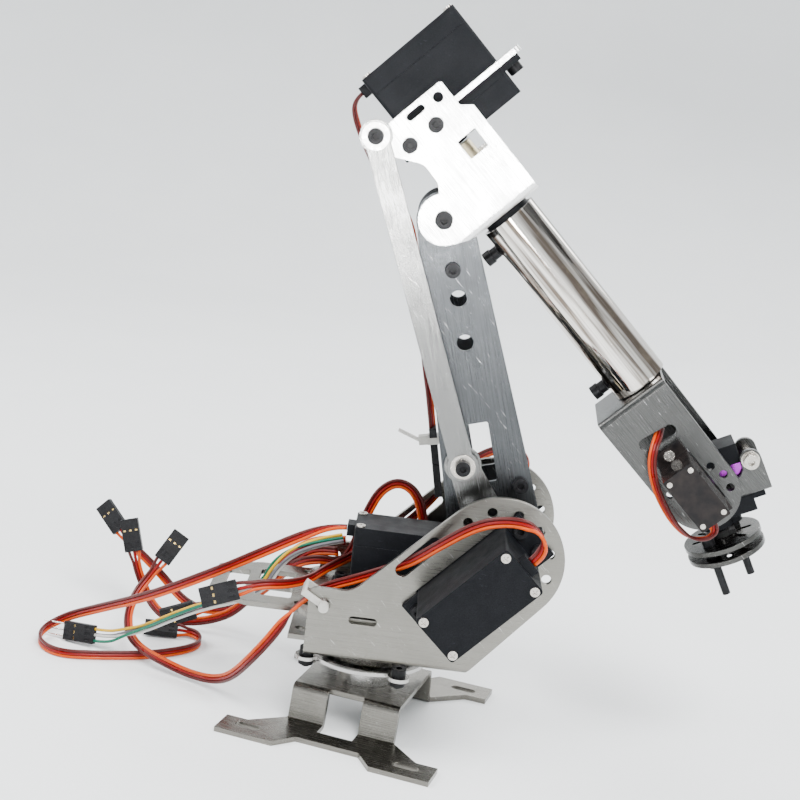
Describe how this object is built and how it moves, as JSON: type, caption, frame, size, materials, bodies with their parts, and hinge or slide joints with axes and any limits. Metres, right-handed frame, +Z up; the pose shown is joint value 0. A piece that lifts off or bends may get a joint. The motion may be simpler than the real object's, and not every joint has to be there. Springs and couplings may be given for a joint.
{
  "type": "desktop robot arm",
  "caption": "Desktop robot arm with a turning waist, linked upper arm, rolling tube forearm, pitching wrist and a slotted tool flange, driven by hobby servos, with loose ribbon leads.",
  "frame": {"origin": "on the floor, under the waist axis, at the centre of the four foot slots", "axes": "+Z up along the waist axis; the stand's sides lie along X and Y; the arm reaches towards +X, turned 16.1 degrees towards +Y"},
  "size_m": [0.2836, 0.1242, 0.2689],
  "materials": {
    "steel": "brushed, slightly warm",
    "dark_steel": "brushed, darker grain",
    "alloy": "satin, brushed",
    "chrome": "polished",
    "servo_plastic": "fine moulded texture",
    "smoke_plastic": "smoky, glossy",
    "black_screw": "black oxide, satin",
    "bright_screw": "nickel",
    "purple": "anodised, bright",
    "horn_plastic": "satin",
    "ribbon": "ribbon of brown, red and orange wires",
    "jumper": "green, yellow and white wires",
    "plug": "semi-matt",
    "tie": "translucent nylon"
  },
  "bodies": {
    "stand": {"stand": "dark_steel", "base_hub": "alloy", "swivel_ring": "steel", "swivel_screws": "black_screw", "waist_servo_shaft": "alloy"},
    "waist": {"swivel_dish": "alloy", "waist_frame": "steel", "servo_tray": "steel", "tray_standoffs": "alloy", "servo_cases": "servo_plastic", "servo_covers": "servo_plastic", "servo_gearcases": "servo_plastic", "servo_motors": "alloy", "cover_screws": "bright_screw", "mount_screws": "black_screw", "zip_tie": "tie", "waist_servo_lead": "ribbon", "crank_servo_lead": "ribbon", "shoulder_servo_lead": "ribbon", "jumper_lead": "jumper", "upper_leads": "ribbon", "lead_plugs": "plug"},
    "upper_arm": {"arm_plates": "alloy", "arm_spacers": "alloy", "arm_screws": "black_screw", "shoulder_servo_shaft": "alloy", "roll_servo_lead": "ribbon", "arm_plugs": "plug", "arm_tie": "tie"},
    "crank": {"crank": "alloy", "crank_pin": "black_screw", "crank_servo_shaft": "alloy"},
    "rod": {"rod": "steel", "rod_bush": "bright_screw"},
    "elbow": {"elbow_frame": "steel", "roll_servo_plate": "steel", "roll_servo_case": "servo_plastic", "roll_servo_cover": "servo_plastic", "roll_servo_gearcase": "servo_plastic", "roll_servo_motor": "alloy", "roll_cover_screws": "bright_screw", "elbow_screws": "black_screw"},
    "forearm": {"forearm_tube": "chrome", "tube_hubs": "alloy", "hub_screws": "black_screw", "roll_servo_shaft": "alloy", "wrist_yoke": "steel", "wrist_servo_case": "smoke_plastic", "wrist_servo_cover": "smoke_plastic", "wrist_servo_screws": "bright_screw", "wrist_servo_lead": "ribbon"},
    "wrist": {"wrist_bracket": "alloy", "wrist_bolt": "bright_screw", "wrist_servo_shaft": "horn_plastic", "tool_servo_case": "servo_plastic", "tool_servo_band": "purple", "tool_servo_cover": "servo_plastic"},
    "tool": {"tool_plates": "dark_steel", "tool_horn": "horn_plastic", "tool_screws": "black_screw"}
  },
  "joints": [
    {"name": "waist_yaw", "type": "hinge", "parent": "stand", "child": "waist", "pos_m": [0, 0, 0.03], "axis": [0, 0, 1], "range_deg": [-90, 90]},
    {"name": "shoulder_pitch", "type": "hinge", "parent": "waist", "child": "upper_arm", "pos_m": [0.0416, 0.01201, 0.0776], "axis": [-0.2773, 0.9608, 0], "range_deg": [-20, 40]},
    {"name": "elbow_pitch", "type": "hinge", "parent": "upper_arm", "child": "elbow", "pos_m": [0.00817, 0.00236, 0.1953], "axis": [-0.2773, 0.9608, 0], "range_deg": [-30, 1], "deforming": ["roll_servo_lead"]},
    {"name": "crank_turn", "type": "hinge", "parent": "upper_arm", "child": "crank", "pos_m": [0.0416, 0.01201, 0.0776], "axis": [-0.2773, 0.9608, 0], "range_deg": [-40, 2]},
    {"name": "rod_swing", "type": "hinge", "parent": "crank", "child": "rod", "pos_m": [0.02539, 0.00733, 0.10758], "axis": [-0.2773, 0.9608, 0], "range_deg": [-2, 42]},
    {"name": "forearm_roll", "type": "hinge", "parent": "elbow", "child": "forearm", "pos_m": [0.02018, 0.00583, 0.20825], "axis": [0.6911, 0.1995, -0.6947], "range_deg": [-90, 90]},
    {"name": "wrist_pitch", "type": "hinge", "parent": "forearm", "child": "wrist", "pos_m": [0.10971, 0.03218, 0.10911], "axis": [-0.2253, 0.9727, 0.0552], "range_deg": [-80, 75]},
    {"name": "tool_roll", "type": "hinge", "parent": "wrist", "child": "tool", "pos_m": [0.12212, 0.03621, 0.08887], "axis": [-0.4451, -0.1531, 0.8823], "range_deg": [-90, 90]}
  ],
  "couplings": [
    {"joint": "crank_turn", "follows": "elbow_pitch", "ratio": 1.2909},
    {"joint": "rod_swing", "follows": "elbow_pitch", "ratio": -1.3658}
  ]
}
